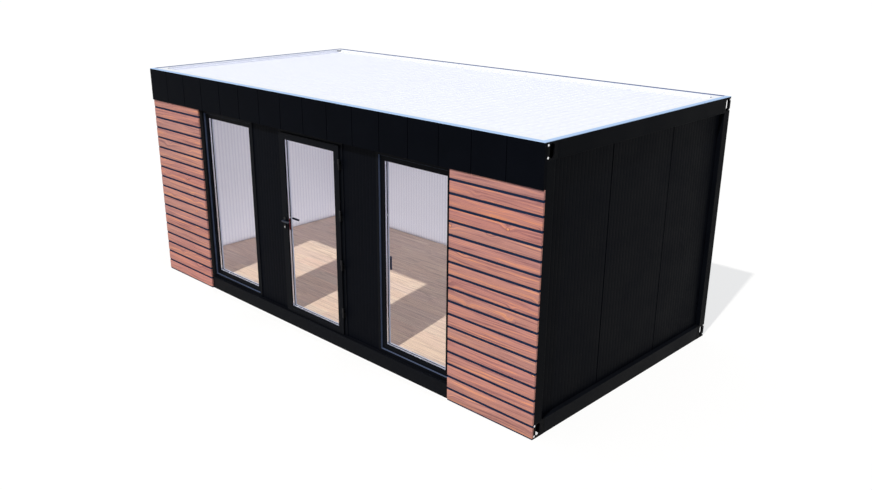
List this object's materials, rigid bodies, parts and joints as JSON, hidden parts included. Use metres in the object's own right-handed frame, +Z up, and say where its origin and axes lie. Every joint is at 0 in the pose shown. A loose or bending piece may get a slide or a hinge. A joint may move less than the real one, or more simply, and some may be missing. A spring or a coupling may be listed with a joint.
{
  "type": "office container",
  "caption": "Glazed office container: dark steel frame on hollow corner castings, timber-slatted front ends, a cassette fascia and a glass door that swings outward.",
  "frame": {"origin": "middle of the overall footprint, on the ground", "axes": "+X along the long glazed front towards the door's hinges, -Y out of the glazed front, +Z up"},
  "size_m": [6, 3.032, 2.604],
  "materials": {
    "casting_paint": "satin, near black",
    "frame_paint": "satin, near black",
    "zinc_coated_steel": "dull zinc coat",
    "laminate_board": "satin laminate, brown grey",
    "wall_panel": "satin, near black outside, pale inside",
    "ceiling_panel": "satin white",
    "roof_sheet": "satin white",
    "roof_trim": "satin, pale",
    "fascia_panel": "satin, near black",
    "timber": "oiled red brown softwood",
    "batten": "matt, near black",
    "window_profile": "matt, dark blue grey",
    "glazing": "clear",
    "handle_black": "satin black",
    "spacer_bar": "dull grey",
    "bright_steel": "bright"
  },
  "bodies": {
    "building": {"back_wall": "wall_panel", "base_casting_back_left": "casting_paint", "base_casting_back_right": "casting_paint", "base_casting_front_left": "casting_paint", "base_casting_front_right": "casting_paint", "base_rails": "frame_paint", "ceiling": "ceiling_panel", "cladding_battens": "batten", "cladding_left": "timber", "cladding_right": "timber", "corner_posts": "frame_paint", "door_frame": "window_profile", "fascia": "fascia_panel", "floor_deck": "laminate_board", "floor_joists": "zinc_coated_steel", "floor_tray": "zinc_coated_steel", "front_end_panels": "wall_panel", "front_headers": "wall_panel", "front_piers": "wall_panel", "hinge_frame_halves": "handle_black", "left_wall": "wall_panel", "right_wall": "wall_panel", "roof_casting_back_left": "casting_paint", "roof_casting_back_right": "casting_paint", "roof_casting_front_left": "casting_paint", "roof_casting_front_right": "casting_paint", "roof_rails": "frame_paint", "roof_sheet": "roof_sheet", "roof_trim": "roof_trim", "window_frame_left": "window_profile", "window_frame_right": "window_profile", "window_glass_left": "glazing", "window_glass_right": "glazing", "window_handle": "handle_black", "window_sash_left": "window_profile", "window_sash_right": "window_profile", "window_spacers": "spacer_bar"},
    "door": {"door_leaf": "window_profile", "door_glass": "glazing", "door_spacer": "spacer_bar", "handle_roses": "handle_black", "lock_cylinder": "bright_steel", "hinge_leaf_halves": "handle_black"},
    "handle": {"door_levers": "handle_black"}
  },
  "joints": [
    {"name": "door_swing", "type": "hinge", "parent": "building", "child": "door", "pos_m": [0.492, -1.474, 1.168], "axis": [0, 0, 1], "range_deg": [0, 100]},
    {"name": "lever_turn", "type": "hinge", "parent": "door", "child": "handle", "pos_m": [-0.45, -1.466, 1.215], "axis": [0, 1, 0], "range_deg": [0, 35], "stiffness_Nm_per_rad": 1.2, "springref_deg": -14.32}
  ]
}
